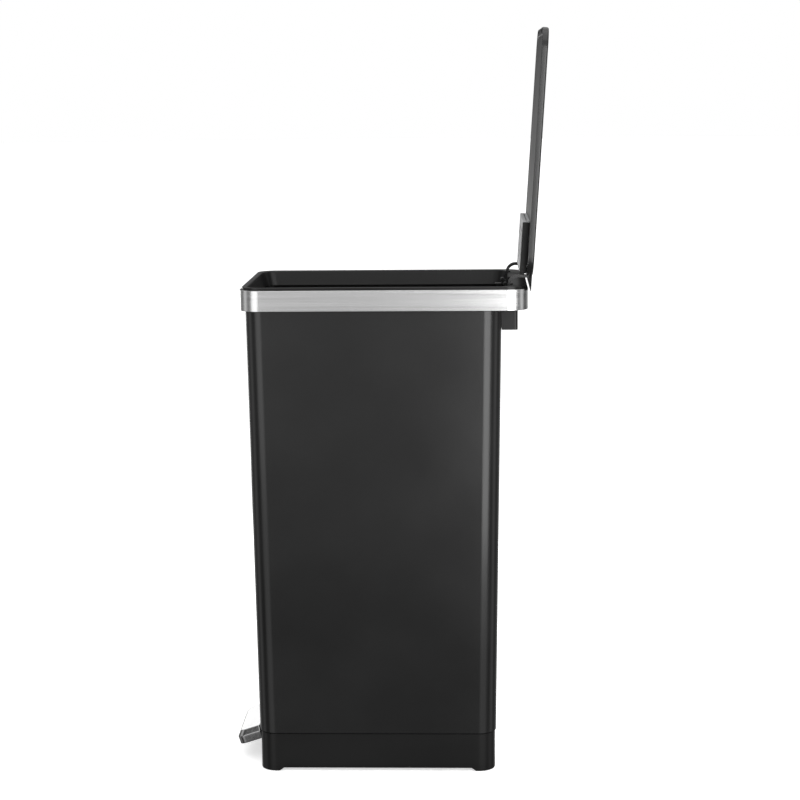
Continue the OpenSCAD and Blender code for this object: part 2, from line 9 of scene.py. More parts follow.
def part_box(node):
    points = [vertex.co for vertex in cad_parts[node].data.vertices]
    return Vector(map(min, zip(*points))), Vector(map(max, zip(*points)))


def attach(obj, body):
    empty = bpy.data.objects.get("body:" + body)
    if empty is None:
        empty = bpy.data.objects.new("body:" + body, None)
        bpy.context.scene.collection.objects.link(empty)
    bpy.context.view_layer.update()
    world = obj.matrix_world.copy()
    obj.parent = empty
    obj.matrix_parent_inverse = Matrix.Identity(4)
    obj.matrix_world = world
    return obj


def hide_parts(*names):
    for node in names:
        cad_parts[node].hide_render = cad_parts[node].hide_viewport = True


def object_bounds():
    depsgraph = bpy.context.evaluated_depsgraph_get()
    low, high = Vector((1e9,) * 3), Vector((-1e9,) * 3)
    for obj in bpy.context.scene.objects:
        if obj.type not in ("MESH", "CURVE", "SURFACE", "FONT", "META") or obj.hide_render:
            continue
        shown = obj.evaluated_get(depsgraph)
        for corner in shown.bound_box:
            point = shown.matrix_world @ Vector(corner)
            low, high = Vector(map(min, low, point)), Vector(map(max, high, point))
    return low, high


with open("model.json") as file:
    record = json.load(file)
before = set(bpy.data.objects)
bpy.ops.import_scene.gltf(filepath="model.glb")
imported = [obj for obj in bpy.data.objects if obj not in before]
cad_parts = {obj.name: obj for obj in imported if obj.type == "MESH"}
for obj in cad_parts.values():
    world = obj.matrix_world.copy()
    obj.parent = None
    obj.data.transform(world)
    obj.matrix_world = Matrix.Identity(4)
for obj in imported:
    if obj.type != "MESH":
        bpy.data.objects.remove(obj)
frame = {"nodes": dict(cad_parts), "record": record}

CAD_BOX = [list(c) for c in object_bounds()]
MM = 0.001
RECORD = frame["record"]
BODY_OF = {n: b for b, ns in RECORD["behaviour"]["bodies"].items() for n in ns}
SLOT_OF = {s["node"]: s["material_slot"] for s in RECORD["subparts"]}
# Pieces are drawn in millimetres from the middle of the body's foot, and HOME puts them in the frame
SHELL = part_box("body_shell")
HOME = Matrix.Translation((0, (SHELL[0][1] + SHELL[1][1]) / 2 / MM, 0))
HINGE = next(j for j in RECORD["behaviour"]["joints"] if j["name"] == "lid_hinge")
PIN = HOME.inverted() @ (Vector(HINGE["pos_m"]) / MM)
OPEN = math.radians(HINGE["range_deg"][1])
# A piece drawn with the lid closed is turned into the open pose by ON_LID
ON_LID = Matrix.Translation(PIN) @ Matrix.Rotation(-OPEN, 4, "X") @ Matrix.Translation(-PIN)
# The tread is drawn flat from its lower back edge, and IN_TREAD tilts it as it is at rest
TREAD_AT = (0, -161, 29)
TREAD_TILT = math.radians(18)
IN_TREAD = Matrix.Translation(TREAD_AT) @ Matrix.Rotation(TREAD_TILT, 4, "X")


# ---------------------------------------------------------------- materials

def new_material(name):
    mat = bpy.data.materials.new(name)
    mat.use_nodes = True
    nt = mat.node_tree
    return mat, nt, nt.nodes["Principled BSDF"]


def noise(nt, scale, detail, stretch=(1, 1, 1), rough=0.5):
    tc = nt.nodes.new("ShaderNodeTexCoord")
    mp = nt.nodes.new("ShaderNodeMapping")
    mp.inputs["Scale"].default_value = stretch
    nz = nt.nodes.new("ShaderNodeTexNoise")
    nz.inputs["Scale"].default_value = scale
    nz.inputs["Detail"].default_value = detail
    nz.inputs["Roughness"].default_value = rough
    nt.links.new(tc.outputs["Object"], mp.inputs["Vector"])
    nt.links.new(mp.outputs["Vector"], nz.inputs["Vector"])
    return nz.outputs["Fac"]


def mixed(nt, share, a, b):
    """a and b as one value, with share as b's part."""
    mix = nt.nodes.new("ShaderNodeMix")
    mix.data_type = "FLOAT"
    mix.inputs[0].default_value = share
    nt.links.new(a, mix.inputs[2])
    nt.links.new(b, mix.inputs[3])
    return mix.outputs[0]


def polish(nt, bsdf, fac, low, high):
    """Roughness from low to high."""
    mr = nt.nodes.new("ShaderNodeMapRange")
    mr.inputs["From Min"].default_value = 0.3
    mr.inputs["From Max"].default_value = 0.7
    mr.inputs["To Min"].default_value = low
    mr.inputs["To Max"].default_value = high
    nt.links.new(fac, mr.inputs["Value"])
    nt.links.new(mr.outputs["Result"], bsdf.inputs["Roughness"])


def tint(nt, bsdf, fac, dark, light):
    """Base colour from dark to light."""
    ramp = nt.nodes.new("ShaderNodeValToRGB")
    ramp.color_ramp.elements[0].position = 0.3
    ramp.color_ramp.elements[1].position = 0.7
    ramp.color_ramp.elements[0].color = (*dark, 1)
    ramp.color_ramp.elements[1].color = (*light, 1)
    nt.links.new(fac, ramp.inputs["Fac"])
    nt.links.new(ramp.outputs["Color"], bsdf.inputs["Base Color"])


def bump(nt, bsdf, heights, distance):
    """Chains (height, strength) bumps into the shader's normal."""
    last = None
    for height, strength in heights:
        b = nt.nodes.new("ShaderNodeBump")
        b.inputs["Strength"].default_value = strength
        b.inputs["Distance"].default_value = distance
        nt.links.new(height, b.inputs["Height"])
        if last:
            nt.links.new(last, b.inputs["Normal"])
        last = b.outputs["Normal"]
    nt.links.new(last, bsdf.inputs["Normal"])


def grey(v, k, cool=0.0):
    return (v * k, v * k * (1 + cool * 0.5), v * k * (1 + cool))


def coating(name, base, rough, peel, grain, vary):
    """Satin powder coating: a soft orange peel under a fine grain."""
    mat, nt, bsdf = new_material(name)
    cloud = noise(nt, 7, 4)
    fine = noise(nt, 1500, 2)
    soft = noise(nt, 420, 2)
    tint(nt, bsdf, cloud, grey(base, 0.88), grey(base, 1.12))
    polish(nt, bsdf, cloud, rough - vary, rough + vary)
    bump(nt, bsdf, [(soft, peel), (fine, grain)], 0.0004)
    return mat


def moulded(name, base, rough, grain, cool=0.0, vary=0.05, gloss=0.5):
    """Moulded plastic or rubber: a cloudy tone with flow in it, and a fine stipple."""
    mat, nt, bsdf = new_material(name)
    bsdf.inputs["Specular IOR Level"].default_value = gloss
    cloud = noise(nt, 12, 4)
    flow = noise(nt, 3.5, 2, (1, 1, 4))
    stipple = noise(nt, 2300, 3)
    tone = mixed(nt, 0.5, cloud, flow)
    tint(nt, bsdf, tone, grey(base, 0.86, cool), grey(base, 1.14, cool))
    polish(nt, bsdf, tone, rough - vary, rough + vary)
    bump(nt, bsdf, [(stipple, grain)], 0.0003)
    return mat


def brushed(name, base, rough, stretch, turn=0.0, aniso=0.5):
    """Steel with fine lines: stretch is large across the lines and small along them."""
    mat, nt, bsdf = new_material(name)
    lines = noise(nt, 1.0, 5, stretch, 0.65)
    broad = noise(nt, 1.0, 3, tuple(max(c / 5, 2.5) for c in stretch))
    tone = mixed(nt, 0.45, lines, broad)
    tint(nt, bsdf, tone, grey(base, 0.86), grey(base, 1.08))
    polish(nt, bsdf, tone, rough - 0.05, rough + 0.06)
    bsdf.inputs["Metallic"].default_value = 1.0
    bsdf.inputs["Anisotropic"].default_value = aniso
    bsdf.inputs["Anisotropic Rotation"].default_value = turn
    bump(nt, bsdf, [(lines, 0.10)], 0.0001)
    return mat


def plated(name, base, rough):
    """Zinc plate: small crystals, a cloudy tone and fine scratches."""
    mat, nt, bsdf = new_material(name)
    cells = nt.nodes.new("ShaderNodeTexVoronoi")
    cells.inputs["Scale"].default_value = 260
    tc = nt.nodes.new("ShaderNodeTexCoord")
    nt.links.new(tc.outputs["Object"], cells.inputs["Vector"])
    cloud = noise(nt, 90, 4)
    scratch = noise(nt, 700, 3)
    tone = mixed(nt, 0.6, cells.outputs["Color"], cloud)
    tint(nt, bsdf, tone, grey(base, 0.82, 0.03), grey(base, 1.08, 0.04))
    polish(nt, bsdf, tone, rough - 0.07, rough + 0.07)
    bsdf.inputs["Metallic"].default_value = 1.0
    bump(nt, bsdf, [(scratch, 0.08)], 0.0002)
    return mat


def felt(name, base):
    """Matted fibres over soft lumps."""
    mat, nt, bsdf = new_material(name)
    fibre = noise(nt, 900, 5, rough=0.8)
    lumps = noise(nt, 160, 3)
    tint(nt, bsdf, fibre, grey(base, 0.5), grey(base, 2.0))
    polish(nt, bsdf, lumps, 0.86, 1.0)
    bsdf.inputs["Sheen Weight"].default_value = 0.25
    bump(nt, bsdf, [(fibre, 0.7), (lumps, 0.5)], 0.0012)
    return mat


LINER = moulded("black_plastic_grained", base=0.007, rough=0.34, grain=0.08, gloss=0.3)
MAT_OF = {
    "painted_steel": coating("satin_black_coating", base=0.0085, rough=0.243, peel=0.03, grain=0.04,
                             vary=0.028),
    "black_plastic": moulded("black_plastic_moulded", base=0.0078, rough=0.31, grain=0.08, vary=0.03,
                             gloss=0.27),
    "rim_steel": brushed("rim_steel_brushed", base=0.58, rough=0.21, stretch=(5, 5, 1300)),
    "tread_steel": brushed("tread_steel_brushed", base=0.38, rough=0.21, stretch=(5, 1200, 1200), turn=0.25,
                           aniso=0.2),
    "zinc_steel": plated("zinc_plating", base=0.60, rough=0.34),
    "light_grey_plastic": moulded("light_grey_plastic_moulded", base=0.52, rough=0.42, grain=0.12, cool=0.02),
    "bucket_plastic": moulded("bucket_plastic_moulded", base=0.017, rough=0.4, grain=0.12),
    "rubber": moulded("rubber_moulded", base=0.016, rough=0.75, grain=0.35),
    "carbon_felt": felt("carbon_felt_matted", base=0.02)}


# ---------------------------------------------------------------- mesh helpers

def round_poly(pts, radius, seg):
    """Rounds each corner of a closed 2-D outline."""
    out = []
    n = len(pts)
    for i in range(n):
        p, a, b = Vector(pts[i]), Vector(pts[i - 1]), Vector(pts[(i + 1) % n])
        u, v = (a - p).normalized(), (b - p).normalized()
        half = math.acos(max(-1, min(1, u.dot(v)))) / 2
        reach = min(radius / math.tan(half), (a - p).length * 0.49, (b - p).length * 0.49)
        r = reach * math.tan(half)
        mid = p + (u + v).normalized() * (r / math.sin(half))
        s, e = p + u * reach - mid, p + v * reach - mid
        a0 = math.atan2(s.y, s.x)
        turn = (math.atan2(e.y, e.x) - a0 + math.pi) % (2 * math.pi) - math.pi
        for k in range(seg + 1):
            t = a0 + turn * k / seg
            out.append((mid.x + r * math.cos(t), mid.y + r * math.sin(t)))
    return out


def plan(w, d, r, mid=0.0, n=14, back=(), front=(), side=()):
    """Rounded rectangle, counter-clockwise from the right side's front end. back and front are extra X
    values on those sides, side extra Y values on both long sides."""
    hw, hd = w / 2, d / 2
    extra = ([(hw, y) for y in sorted(side)],
             [(x, mid + hd) for x in sorted(back, reverse=True)],
             [(-hw, y) for y in sorted(side, reverse=True)],
             [(x, mid - hd) for x in sorted(front)])
    pts = []
    for q, (sx, sy) in enumerate(((1, 1), (-1, 1), (-1, -1), (1, -1))):
        pts += extra[q]
        for k in range(n + 1):
            t = math.pi / 2 * (q + k / n)
            pts.append((sx * (hw - r) + r * math.cos(t), mid + sy * (hd - r) + r * math.sin(t)))
    return pts


def around(r, n):
    """n points (x, y) round the origin."""
    return [(r * math.cos(2 * math.pi * k / n), r * math.sin(2 * math.pi * k / n)) for k in range(n)]


def circle(r, z, n, at):
    """n points round the Z axis of at."""
    return [at @ Vector((x, y, z)) for x, y in around(r, n)]


def loft(bm, rings, closed=False, cap0=False, cap1=False, skip=None):
    """Quads between rings of equal length. skip(row, col) leaves a quad out."""
    rows = [[bm.verts.new(p) for p in ring] for ring in rings]
    n = len(rows[0])
    last = len(rows) if closed else len(rows) - 1
    for i in range(last):
        a, b = rows[i], rows[(i + 1) % len(rows)]
        for j in range(n):
            if skip and skip(i, j):
                continue
            bm.faces.new((a[j], a[(j + 1) % n], b[(j + 1) % n], b[j]))
    if cap0:
        bm.faces.new(rows[0])
    if cap1:
        bm.faces.new(rows[-1])
    return rows


def join(bm, part):
    me = bpy.data.meshes.new("part")
    part.to_mesh(me)
    part.free()
    bm.from_mesh(me)
    bpy.data.meshes.remove(me)


def box(bm, lo, hi, bevel):
    """A bevelled box, as an island of bm."""
    part = bmesh.new()
    bmesh.ops.create_cube(part, size=1)
    size = Vector(hi) - Vector(lo)
    part.transform(Matrix.Translation((Vector(lo) + Vector(hi)) / 2) @ Matrix.Diagonal((*size, 1)))
    bmesh.ops.bevel(part, geom=part.edges[:], offset=bevel, segments=2, profile=0.5, affect="EDGES")
    join(bm, part)


def lathe(bm, profile, x, y, n):
    """Turns (radius, height) points about an upright axis, with flat ends."""
    part = bmesh.new()
    loft(part, [circle(r, z, n, Matrix.Translation((x, y, 0))) for r, z in profile], cap0=True, cap1=True)
    join(bm, part)


def piece(name, bm, *nodes, mat=None, at=None, smooth=38, weighted=True):
    """Makes the object in metres, and gives it the first CAD node's body and the material of that node's
    slot.
    """
    bmesh.ops.remove_doubles(bm, verts=bm.verts[:], dist=0.0008)
    bmesh.ops.recalc_face_normals(bm, faces=bm.faces[:])
    bm.transform(Matrix.Scale(MM, 4) @ HOME @ (at or Matrix()))
    me = bpy.data.meshes.new(name)
    bm.to_mesh(me)
    bm.free()
    for p in me.polygons:
        p.use_smooth = True
    me.set_sharp_from_angle(angle=math.radians(smooth))
    o = bpy.data.objects.new(name, me)
    bpy.context.scene.collection.objects.link(o)
    if weighted:
        w = o.modifiers.new("even_normals", "WEIGHTED_NORMAL")
        w.keep_sharp = True
        w.weight = 90
    me.materials.append(mat or MAT_OF[SLOT_OF[nodes[0]]])
    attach(o, BODY_OF[nodes[0]])
    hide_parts(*nodes)
    return o


def node_mesh(node, undo=Matrix()):
    """The CAD node's surface in millimetres, after undo."""
    bm = bmesh.new()
    bm.from_mesh(frame["nodes"][node].data)
    bm.transform(undo @ HOME.inverted() @ Matrix.Scale(1 / MM, 4))
    bmesh.ops.remove_doubles(bm, verts=bm.verts[:], dist=0.002)
    return bm


def whole_faces(node):
    """The CAD node's surface with its flat faces whole again."""
    bm = node_mesh(node)
    bmesh.ops.recalc_face_normals(bm, faces=bm.faces[:])
    bmesh.ops.dissolve_limit(bm, angle_limit=math.radians(0.6), verts=bm.verts[:], edges=bm.edges[:])
    return bm


def round_edges(bm, edges, width, seg):
    bmesh.ops.bevel(bm, geom=edges, offset=width, offset_type="OFFSET", segments=seg, profile=0.5,
                    affect="EDGES", clamp_overlap=True)


def sharp_edges(bm, degrees):
    return [e for e in bm.edges if len(e.link_faces) == 2 and e.calc_face_angle(0) > math.radians(degrees)]


def softened(name, node, width, seg=3):
    """The node's shape with its edges rounded over."""
    bm = whole_faces(node)
    round_edges(bm, sharp_edges(bm, 32), width, seg)
    piece(name, bm, node)


def solids(node, undo=Matrix()):
    """The lowest and highest corners of each separate solid of a node, in millimetres, after undo."""
    bm = node_mesh(node, undo)
    left, found = set(bm.verts), []
    while left:
        todo = [left.pop()]
        group = []
        while todo:
            v = todo.pop()
            group.append(v.co.copy())
            for e in v.link_edges:
                o = e.other_vert(v)
                if o in left:
                    left.remove(o)
                    todo.append(o)
        found.append((Vector(min(c[k] for c in group) for k in range(3)),
                      Vector(max(c[k] for c in group) for k in range(3))))
    bm.free()
    return sorted(found, key=lambda b: tuple(round(c, 2) for c in b[0]))


# ---------------------------------------------------------------- body and base

BODY_LO, BODY_HI = solids("body_shell")[0]
BODY_R = 24.0
LEAN = 8.5 / 576
# The opening at the top of the back wall: its sides and its lower edge
WINDOW_X0, WINDOW_X1, WINDOW_Z = -15.0, 43.0, 601.5


def body_plan(z, inset):
    """The body's outline at height z, inset from its outer face. The walls lean out as they rise."""
    less = 2 * LEAN * (BODY_HI.z - z) + 2 * inset
    outline = plan(2 * BODY_HI.x - less, 2 * BODY_HI.y - less, BODY_R - inset, 0, 16,
                   back=(WINDOW_X0, WINDOW_X1))
    return [(x, y, z) for x, y in outline]


def steel_body():
    t = 0.8
    foot, top = BODY_LO.z, BODY_HI.z
    rows = [(0.42, foot), (0.14, foot + 0.1), (0, foot + 0.4), (0, WINDOW_Z), (0, top), (t, top),
            (t, WINDOW_Z), (t, foot)]
    bm = bmesh.new()
    # columns: 17 corner points, then the two window edges
    first = 17
    rings = loft(bm, [body_plan(z, i) for i, z in rows], closed=True,
                 skip=lambda i, j: j == first and i in (3, 4, 5))
    for col in (first, first + 1):
        bm.faces.new([rings[k][col] for k in (3, 4, 5, 6)])
    bm.faces.new((rings[3][first], rings[3][first + 1], rings[6][first + 1], rings[6][first]))
    # the rolled seam down the back, beside the middle
    seam = bmesh.new()
    seam_x, seam_z0, seam_z1, steps = -60, foot + 2, 598, 12
    foot_y = BODY_HI.y - LEAN * (top - foot)
    prof = [(-7.0, 0.0), (-6.4, 0.28), (-5.6, 0.36), (5.6, 0.36), (6.4, 0.28), (7.0, 0.0), (7.0, -0.3),
            (-7.0, -0.3)]
    zs = [seam_z0 + (seam_z1 - seam_z0) * k / steps for k in range(steps + 1)]
    loft(seam, [[(seam_x + x, foot_y + LEAN * (z - foot) + y, z) for x, y in prof] for z in zs], cap0=True,
         cap1=True)
    join(bm, seam)
    piece("steel_body", bm, "body_shell")


def plastic_base():
    """The base's wall with a foot at each corner, a groove under the body, a ledge and two rails inside."""
    lo, hi = solids("base_ring")[0]
    w, d, r = hi.x - lo.x, hi.y - lo.y, 22.5
    foot_l, ramp, wall, ledge = 26, 6.0, 2.5, 12.0
    slot_x, slot_z, rod_x = 15.0, 12.0, 13.5
    arch, side = d / 2 - foot_l, w / 2 - foot_l
    ys = (-arch, -arch + ramp, arch - ramp, arch)
    xs = (-side, -side + ramp, side - ramp, side)
    fronts = (*xs, -slot_x, slot_x)
    backs = (*xs, -slot_x, -rod_x, rod_x, slot_x)

    def outline(inset):
        return plan(w - 2 * inset, d - 2 * inset, r - min(inset, r - 6), back=backs, front=fronts, side=ys)

    def low(x, y):
        """The underside: lower on the feet than between them."""
        on_foot = abs(x) > side - 0.01 and abs(y) > arch - 0.01
        return 0.4 if on_foot else 4.6

    # (inset, height) round the wall. Heights under 2 are above the underside
    profile = [(1.4, 0.0), (0.42, 0.4), (0.0, 1.4), (0.0, slot_z), (0.0, 52.3), (0.25, 52.6), (1.9, 52.7),
               (1.9, 54.0), (ledge, 54.0), (ledge, 51.0), (wall, 51.0), (wall, slot_z), (wall, 0.0)]
    ref = outline(0.0)
    rings = []
    for inset, h in profile:
        ring = []
        for (x, y), (rx, ry) in zip(outline(inset), ref):
            z = low(rx, ry) + h if h < 2 else h
            if inset == ledge and abs(rx) < rod_x + 0.5 and ry > 0:
                # the ledge is cut back to the wall for the push rod
                y += ledge - wall
            ring.append((x, y, z))
        rings.append(ring)
    # the lever's slot at the front, between rows cut0 and cut1
    col = next(i for i, (x, y) in enumerate(ref) if abs(x + slot_x) < 0.01 and y < 0)
    cut0, cut1 = 3, len(profile) - 2
    bm = bmesh.new()
    rows = loft(bm, rings, closed=True, skip=lambda i, j: j == col and cut0 <= i < cut1)
    for c in (col, col + 1):
        bm.faces.new([rows[k][c] for k in range(cut0, cut1 + 1)])
    bm.faces.new((rows[cut0][col], rows[cut0][col + 1], rows[cut1][col + 1], rows[cut1][col]))
    rail_x, rail_w, rail_z = 92, 6, 9.5
    for s in (-1, 1):
        mid = s * rail_x
        box(bm, (mid - rail_w / 2, -d / 2 + 3, rail_z), (mid + rail_w / 2, d / 2 - 3, hi.z), 0.8)
    piece("plastic_base", bm, "base_ring")


def foot_pads():
    bm = bmesh.new()
    for lo, hi in solids("rubber_feet"):
        c = (lo + hi) / 2
        r = (hi.x - lo.x) / 2
        prof = [(0.01, lo.z + 0.35), (r - 3.4, lo.z + 0.35), (r - 3.0, lo.z), (r - 1.2, lo.z),
                (r - 0.35, lo.z + 0.3), (r, lo.z + 1.1), (r, hi.z - 0.3), (r - 0.3, hi.z), (0.01, hi.z)]
        lathe(bm, prof, c.x, c.y, 40)
    piece("foot_pads", bm, "rubber_feet")


# ---------------------------------------------------------------- rim

def steel_band():
    lo, hi = solids("rim_band")[0]
    r, t = 28.0, 1.2
    w, d, mid = hi.x - lo.x, hi.y - lo.y, (lo.y + hi.y) / 2
    prof = round_poly([(0, lo.z), (0, hi.z), (t, hi.z), (t, lo.z)], 0.5, 4)
    bm = bmesh.new()
    rings = [[(x, y, z) for x, y in plan(w - 2 * i, d - 2 * i, r - i, mid, 24)] for i, z in prof]
    loft(bm, rings, closed=True)
    piece("steel_band", bm, "rim_band")


def rim_moulding():
    """The CAD frame with its mouth flared towards the top, a roll on the lip and soft edges elsewhere."""
    bm = whole_faces("rim_frame")
    # the straight mouth, and how far it opens by the lip
    half_w, front, back, foot, lip = 117.0, -162.0, 176.0, 641.0, 661.0
    flare = 4.0
    mid, half_d = (front + back) / 2, (back - front) / 2
    for v in bm.verts:
        if v.co.z > foot - 0.5 and abs(v.co.x) < half_w + 2 and front - 2 < v.co.y < back + 1.8:
            out = flare * min(1, (v.co.z - foot) / (lip - foot))
            v.co.x *= 1 + out / half_w
            v.co.y = mid + (v.co.y - mid) * (1 + out / half_d)
    near = flare + 0.2

    def on_mouth(v):
        return v.co.z > lip - 0.1 and abs(v.co.x) < half_w + near and front - near < v.co.y < back + near

    lip_edges = [e for e in sharp_edges(bm, 40) if all(on_mouth(v) for v in e.verts)]
    round_edges(bm, lip_edges, 2.4, 5)
    round_edges(bm, sharp_edges(bm, 40), 0.6, 3)
    piece("rim_moulding", bm, "rim_frame")


# ---------------------------------------------------------------- bucket

def bucket():
    lo, hi = solids("inner_bucket")[0]
    z0, z1 = lo.z, hi.z
    r, taper, t, lip = 30.0, 7.0, 1.6, 3.0
    w, d, mid = hi.x - lo.x - 2 * lip, hi.y - lo.y - 2 * lip, (lo.y + hi.y) / 2

    def ring(z, inset):
        below = 1 - (z - z0) / (z1 - z0)
        less = 2 * taper * below + 2 * inset
        corner = max(r - 4 * below - inset, 6)
        return [(x, y, z) for x, y in plan(w - less, d - less, corner, mid)]

    outer = [(z0, 6.0), (z0 + 0.7, 3.2), (z0 + 2.2, 1.2), (z0 + 5, 0.15), (z0 + 9, 0.0), (560, 0.0),
             (562, -0.7), (572, -0.7), (574, 0.0), (622.2, 0.0), (623.4, -0.4), (624, -lip + 0.6),
             (624.4, -lip), (627.2, -lip), (627.8, -lip + 0.3), (z1, -lip + 1.1)]
    inner = [(z1, t - 1.0), (z1 - 0.5, t - 0.2), (z1 - 1.4, t), (z0 + 9.5, t), (z0 + 5, t + 0.8),
             (z0 + t + 1, t + 3.2), (z0 + t, t + 7)]
    bm = bmesh.new()
    loft(bm, [ring(z, i) for z, i in outer + inner], cap0=True, cap1=True)
    piece("bucket_moulding", bm, "inner_bucket")


# ---------------------------------------------------------------- lid

LID_LO, LID_HI = solids("lid_shell", ON_LID.inverted())[0]
LID_R = 27.0
# The flap passes through the lid's back edge between -FLAP_X and FLAP_X
FLAP_X = 96.0


def lid_ring(inset, z, rear_z=None):
    """The lid's outline at height z, with its back edge between the flap's ends at rear_z if given."""
    w = LID_HI.x - LID_LO.x - 2 * inset
    d = LID_HI.y - LID_LO.y - 2 * inset
    mid = (LID_LO.y + LID_HI.y) / 2
    pts = plan(w, d, LID_R - inset, mid, 18, back=(-FLAP_X, FLAP_X))
    back = mid + d / 2
    return [(x, y, rear_z if rear_z and abs(x) < FLAP_X + 0.5 and y > back - 0.01 else z) for x, y in pts]


def lid_skin():
    """The lid's pressed cover: a flat top with a rolled edge, hollow below."""
    z0, top = LID_LO.z, LID_HI.z
    slot = top - 1.2
    roll, t = 2.6, 1.2
    outer = [(0.45, z0, slot), (0.12, z0 + 0.12, slot + 0.02), (0, z0 + 0.45, slot + 0.05),
             (0, top - roll, top - 0.9)]
    for k in range(1, 7):
        a = math.pi / 2 * k / 6
        outer.append((roll * (1 - math.cos(a)), top - roll * (1 - math.sin(a)), None))
    inner = [(2.6, top - t, None), (1.75, top - 1.55, None), (t, top - 2.4, slot + 0.05),
             (t, z0 + 0.3, slot + 0.02), (1.0, z0, slot)]
    turn = len(outer)
    bm = bmesh.new()
    rows = loft(bm, [lid_ring(i, z, b) for i, z, b in outer + inner], closed=True,
                skip=lambda i, j: i == turn - 1)
    bm.faces.new(rows[turn - 1])
    bm.faces.new(rows[turn])
    piece("lid_skin", bm, "lid_shell", at=ON_LID)


def lid_inner_panel():
    """The panel under the lid, with a shallow groove round it."""
    lo, hi = solids("lid_liner", ON_LID.inverted())[0]
    z0, z1 = lo.z, hi.z
    t = LID_HI.x - hi.x
    rows = [(t, z1), (t, z0 + 0.7), (t + 0.2, z0 + 0.2), (t + 0.7, z0), (t + 7, z0), (t + 7.6, z0 + 0.25),
            (t + 8.2, z0 + 0.9), (t + 10.2, z0 + 0.9), (t + 10.8, z0 + 0.3), (t + 11.5, z0 + 0.1)]
    bm = bmesh.new()
    loft(bm, [lid_ring(i, z) for i, z in rows], cap0=True, cap1=True)
    piece("lid_inner_panel", bm, "lid_liner", mat=LINER, at=ON_LID)


def filter_felt():
    """The carbon pad: a matted slab with soft, uneven faces."""
    lo, hi = solids("carbon_filter", ON_LID.inverted())[0]
    nx, ny = 60, 26
    bm = bmesh.new()

    def lump(x, y, s):
        broad = math.sin(x * 0.37 + s) * math.sin(y * 0.51 + 2 * s)
        return 0.32 * (broad + 0.6 * math.sin(x * 0.93 + y * 0.71 + s))

    sheets = []
    for side, z in ((0, lo.z), (1, hi.z)):
        rows = []
        for j in range(ny + 1):
            row = []
            for i in range(nx + 1):
                x = lo.x + (hi.x - lo.x) * i / nx
                y = lo.y + (hi.y - lo.y) * j / ny
                edge = min(x - lo.x, hi.x - x, y - lo.y, hi.y - y)
                fall = max(0, 1 - edge / 3.0) ** 2 * 1.3
                sink = 0.45 + lump(x, y, 1 + side) + fall
                row.append(bm.verts.new((x, y, z + sink if side == 0 else z - sink)))
            rows.append(row)
        sheets.append(rows)
        for j in range(ny):
            for i in range(nx):
                bm.faces.new((rows[j][i], rows[j][i + 1], rows[j + 1][i + 1], rows[j + 1][i]))
    a, b = sheets
    for j in range(ny):
        for i in (0, nx):
            bm.faces.new((a[j][i], a[j + 1][i], b[j + 1][i], b[j][i]))
    for i in range(nx):
        for j in (0, ny):
            bm.faces.new((a[j][i], a[j][i + 1], b[j][i + 1], b[j][i]))
    piece("filter_felt", bm, "carbon_filter", at=ON_LID, smooth=60)


# ---------------------------------------------------------------- pedal

def tread():
    """A pressed steel cup, open below, with bevelled edges, round front corners and a notch for the lever."""
    lo, hi = solids("pedal_tread", IN_TREAD.inverted())[0]
    w, d, top = hi.x - lo.x, hi.y - lo.y, hi.z
    r, r_back, n = 10.0, 2.2, 10
    side, bev, wall = 11.0, 6.0, 1.5
    notch_x, notch_z = 10.5, 8.0

    def ring(inset, z, cut):
        """cut runs from 0 on the sides to 1 at the top edge of the bevel."""
        hw = w / 2 - bev * cut - inset
        y0, y1 = -d + bev * cut + inset, -inset
        rf, rb = max(r - 2 * cut - inset, 1.5), max(r_back - inset, 0.4)
        pts = [(-notch_x, y1), (-hw + rb, y1)]
        for cx, cy, rr, a0 in ((-hw + rb, y1 - rb, rb, 90), (-hw + rf, y0 + rf, rf, 180),
                               (hw - rf, y0 + rf, rf, 270), (hw - rb, y1 - rb, rb, 0)):
            for k in range(n + 1):
                a = math.radians(a0 + 90 * k / n)
                pts.append((cx + rr * math.cos(a), cy + rr * math.sin(a)))
        pts += [(hw - rb, y1), (notch_x, y1)]
        return [(x, y, z) for x, y in pts]

    rise = top - side
    outer = [(0.5, 0.0, 0), (0.12, 0.15, 0), (0, 0.6, 0), (0, notch_z, 0), (0, side - 0.5, 0),
             (0.02, side - 0.1, 0.02), (0.0, side + 0.4, 0.09), (0.0, side + rise * 0.9, 0.9),
             (0.1, top - 0.25, 0.965), (0.4, top - 0.04, 1.0), (1.0, top, 1.0)]
    inner = [(wall + 1.2, top - wall, 1.0), (wall + 0.1, side + rise * 0.80 - 0.5, 0.86),
             (wall, side - 0.6, 0.05), (wall, notch_z, 0), (wall, 0.6, 0), (wall - 0.4, 0.0, 0)]
    turn = len(outer)
    low_out, low_in = 3, turn + 3
    last = len(ring(0, 0, 0)) - 1
    bm = bmesh.new()
    rows = loft(bm, [ring(*o) for o in outer + inner], closed=True,
                skip=lambda i, j: i == turn - 1 or j == last and (i < low_out or i >= low_in))
    bm.faces.new(rows[turn - 1])
    bm.faces.new(rows[turn])
    for col in (0, last):
        bm.faces.new([rows[k][col] for k in (*range(low_in, len(rows)), *range(low_out + 1))])
    bm.faces.new((rows[low_out][0], rows[low_out][last], rows[low_in][last], rows[low_in][0]))
    piece("tread_pressing", bm, "pedal_tread", at=IN_TREAD)


def rivets():
    bm = bmesh.new()
    for lo, hi in solids("tread_rivets", IN_TREAD.inverted()):
        c = (lo + hi) / 2
        r = (hi.x - lo.x) / 2
        prof = [(0.01, lo.z), (r * 0.6, lo.z + 0.05), (r, lo.z + 0.7), (r, hi.z - 0.1), (0.01, hi.z - 0.1)]
        lathe(bm, prof, c.x, c.y, 24)
    piece("rivet_set", bm, "tread_rivets", at=IN_TREAD)


# ---------------------------------------------------------------- screws

